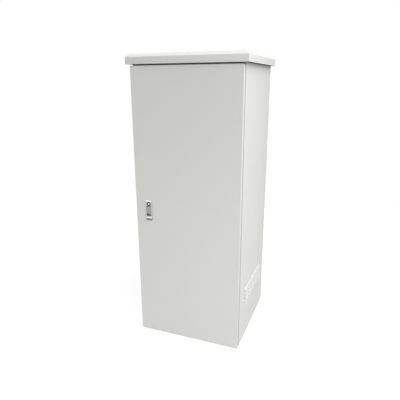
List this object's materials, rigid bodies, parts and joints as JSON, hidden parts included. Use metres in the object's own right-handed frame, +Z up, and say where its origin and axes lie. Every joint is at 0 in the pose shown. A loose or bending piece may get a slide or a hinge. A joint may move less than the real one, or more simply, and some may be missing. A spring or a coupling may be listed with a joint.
{
  "type": "outdoor rack cabinet",
  "caption": "Free-standing outdoor rack cabinet with a full-height hinged door, recessed pull lever and key lock, louvred side walls, a rain hood and rack rails inside.",
  "frame": {"origin": "on the floor, at mid width and mid depth of the cabinet", "axes": "X to the right as seen from the front, Y to the back, Z up; the door faces -Y"},
  "size_m": [0.648, 0.612, 1.588],
  "materials": {
    "paint": "fine textured powder coat, light grey",
    "frame_paint": "powder coat, light grey",
    "zinc": "zinc plated",
    "bolts": "zinc plated",
    "hinge_steel": "bare steel",
    "rubber": "matte black foam rubber",
    "filter": "open foam",
    "fan_black": "black moulded plastic",
    "copper": "bare copper",
    "insulator": "moulded insulator",
    "chrome": "satin chrome on die casting"
  },
  "bodies": {
    "cabinet": {"hood": "paint", "left_wall": "paint", "right_wall": "paint", "back_wall": "paint", "left_post": "frame_paint", "right_post": "frame_paint", "header": "frame_paint", "sill": "frame_paint", "top_plate": "frame_paint", "base_frame": "frame_paint", "floor_plate": "frame_paint", "gland_plate": "zinc", "front_left_rail": "zinc", "front_right_rail": "zinc", "rear_left_rail": "zinc", "rear_right_rail": "zinc", "left_lower_support": "zinc", "right_lower_support": "zinc", "left_upper_support": "zinc", "right_upper_support": "zinc", "hood_spacers": "zinc", "left_filter_frame": "zinc", "right_filter_frame": "zinc", "upper_keeper": "zinc", "lower_keeper": "zinc", "hood_bolts": "bolts", "rail_bolts": "bolts", "upper_hinge_arm": "hinge_steel", "middle_hinge_arm": "hinge_steel", "lower_hinge_arm": "hinge_steel", "cable_seal": "rubber", "left_filter_mat": "filter", "right_filter_mat": "filter", "fan_housing": "fan_black", "earth_bar": "copper", "earth_insulators": "insulator"},
    "door": {"door_panel": "paint", "door_gasket": "rubber", "left_stiffener": "frame_paint", "right_stiffener": "frame_paint", "upper_hinge_pintle": "hinge_steel", "middle_hinge_pintle": "hinge_steel", "lower_hinge_pintle": "hinge_steel", "handle_dish": "chrome", "handle_gasket": "rubber", "handle_clamp": "zinc", "clamp_bolt": "bolts", "lever_pin": "hinge_steel", "upper_guide": "zinc", "lower_guide": "zinc"},
    "pull": {"lever": "chrome"},
    "lock": {"lock_core": "chrome", "lock_cam": "zinc"},
    "rod_up": {"upper_rod": "zinc"},
    "rod_down": {"lower_rod": "zinc"},
    "fan": {"fan_rotor": "fan_black"}
  },
  "joints": [
    {"name": "door_hinge", "type": "hinge", "parent": "cabinet", "child": "door", "pos_m": [0.292, -0.285, 0.768], "axis": [0, 0, 1], "range_deg": [0, 110]},
    {"name": "lever_lift", "type": "hinge", "parent": "door", "child": "pull", "pos_m": [-0.222, -0.2965, 0.7845], "axis": [-1, 0, 0], "range_deg": [0, 40]},
    {"name": "lock_turn", "type": "hinge", "parent": "door", "child": "lock", "pos_m": [-0.222, -0.294, 0.8055], "axis": [0, 1, 0], "range_deg": [0, 90]},
    {"name": "upper_rod_slide", "type": "slide", "parent": "door", "child": "rod_up", "axis": [0, 0, 1], "range_m": [0, 0.02545]},
    {"name": "lower_rod_slide", "type": "slide", "parent": "door", "child": "rod_down", "axis": [0, 0, -1], "range_m": [0, 0.0255]},
    {"name": "fan_spin", "type": "hinge", "parent": "cabinet", "child": "fan", "pos_m": [0, 0.0145, 1.54], "axis": [0, 0, 1], "continuous": true}
  ],
  "couplings": [
    {"joint": "lock_turn", "follows": "upper_rod_slide", "rad_per_m": 61.707},
    {"joint": "lower_rod_slide", "follows": "upper_rod_slide", "ratio": 1}
  ]
}
